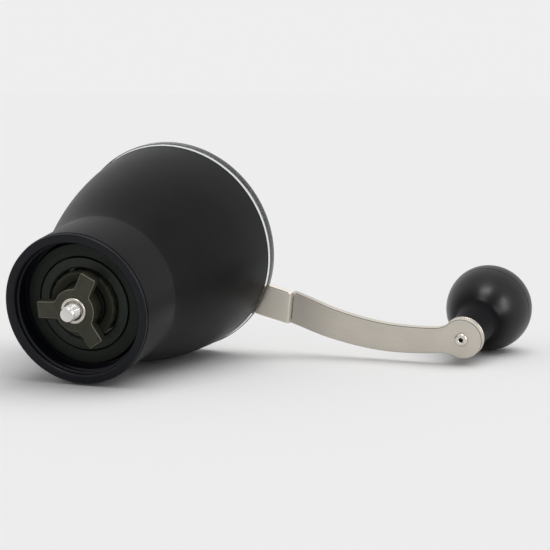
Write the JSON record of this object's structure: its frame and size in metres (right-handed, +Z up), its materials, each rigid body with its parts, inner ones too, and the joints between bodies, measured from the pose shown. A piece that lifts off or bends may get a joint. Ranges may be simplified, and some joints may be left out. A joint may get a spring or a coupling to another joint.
{
  "type": "manual coffee grinder",
  "caption": "Hand-cranked coffee grinder head with a flared hopper, clear lid, conical burrs, adjusting nut, bowed crank arm and pear-shaped knob; it screws onto a jar.",
  "frame": {"origin": "on the shaft's axis, in the plane of the collar's mouth", "axes": "+Z up the shaft from the jar mouth to the lid; +X from the shaft to the knob at rest"},
  "size_m": [0.2003, 0.0936, 0.1741],
  "materials": {
    "shell_plastic": "satin charcoal black",
    "collar_plastic": "satin blue-black",
    "retainer_plastic": "satin green-black",
    "clear_plastic": "polished clear plastic",
    "burr_ceramic": "matt fired ceramic, green-black",
    "cone_ceramic": "matt fired ceramic, brown-black",
    "nut_plastic": "moulded olive-grey plastic",
    "inner_plastic": "moulded black plastic",
    "arm_steel": "satin nickel, warm",
    "bright_steel": "turned steel",
    "spring_steel": "drawn wire",
    "bush_bronze": "sintered bronze",
    "white_plastic": "natural acetal",
    "knob_plastic": "satin black"
  },
  "bodies": {
    "housing": {"hopper_shell": "shell_plastic", "jar_collar": "collar_plastic", "burr_retainer": "retainer_plastic", "outer_burr": "burr_ceramic", "bearing_spider": "inner_plastic", "lower_bush": "bush_bronze", "upper_bush": "bush_bronze", "spider_screw_1": "bright_steel", "spider_screw_2": "bright_steel", "spider_screw_3": "bright_steel"},
    "lid": {"clear_lid": "clear_plastic"},
    "drive": {"main_shaft": "bright_steel", "shaft_clip": "spring_steel", "thrust_washer": "white_plastic", "burr_spring": "spring_steel"},
    "grinding": {"inner_burr": "cone_ceramic", "burr_carrier": "nut_plastic"},
    "adjuster": {"adjusting_nut": "nut_plastic", "nut_insert": "bright_steel"},
    "crank": {"crank_arm": "arm_steel", "crank_hub": "bright_steel", "hub_cap": "knob_plastic", "knob_spindle": "bright_steel", "knob_washer": "bright_steel", "knob_clip": "spring_steel"},
    "knob": {"knob_bush": "white_plastic", "knob_body": "knob_plastic", "knob_cap": "knob_plastic"}
  },
  "joints": [
    {"name": "crank_turn", "type": "hinge", "parent": "housing", "child": "drive", "pos_m": [0, 0, 0.04], "axis": [0, 0, -1], "continuous": true},
    {"name": "crank_lift", "type": "slide", "parent": "drive", "child": "crank", "axis": [0, 0, 1], "range_m": [0, 0.04]},
    {"name": "knob_spin", "type": "hinge", "parent": "crank", "child": "knob", "pos_m": [0.1343, 0, 0.12], "axis": [0, 0, 1], "continuous": true},
    {"name": "lid_lift", "type": "slide", "parent": "housing", "child": "lid", "axis": [0, 0, 1], "range_m": [0, 0.02]},
    {"name": "burr_travel", "type": "slide", "parent": "drive", "child": "grinding", "axis": [0, 0, -1], "range_m": [0, 0.001], "deforming": ["burr_spring"]},
    {"name": "nut_turn", "type": "hinge", "parent": "grinding", "child": "adjuster", "pos_m": [0, 0, 0.002], "axis": [0, 0, -1], "range_deg": [0, 360]}
  ],
  "couplings": [
    {"joint": "lid_lift", "follows": "crank_lift", "ratio": 0.5},
    {"joint": "nut_turn", "follows": "burr_travel", "rad_per_m": 6283.2}
  ]
}
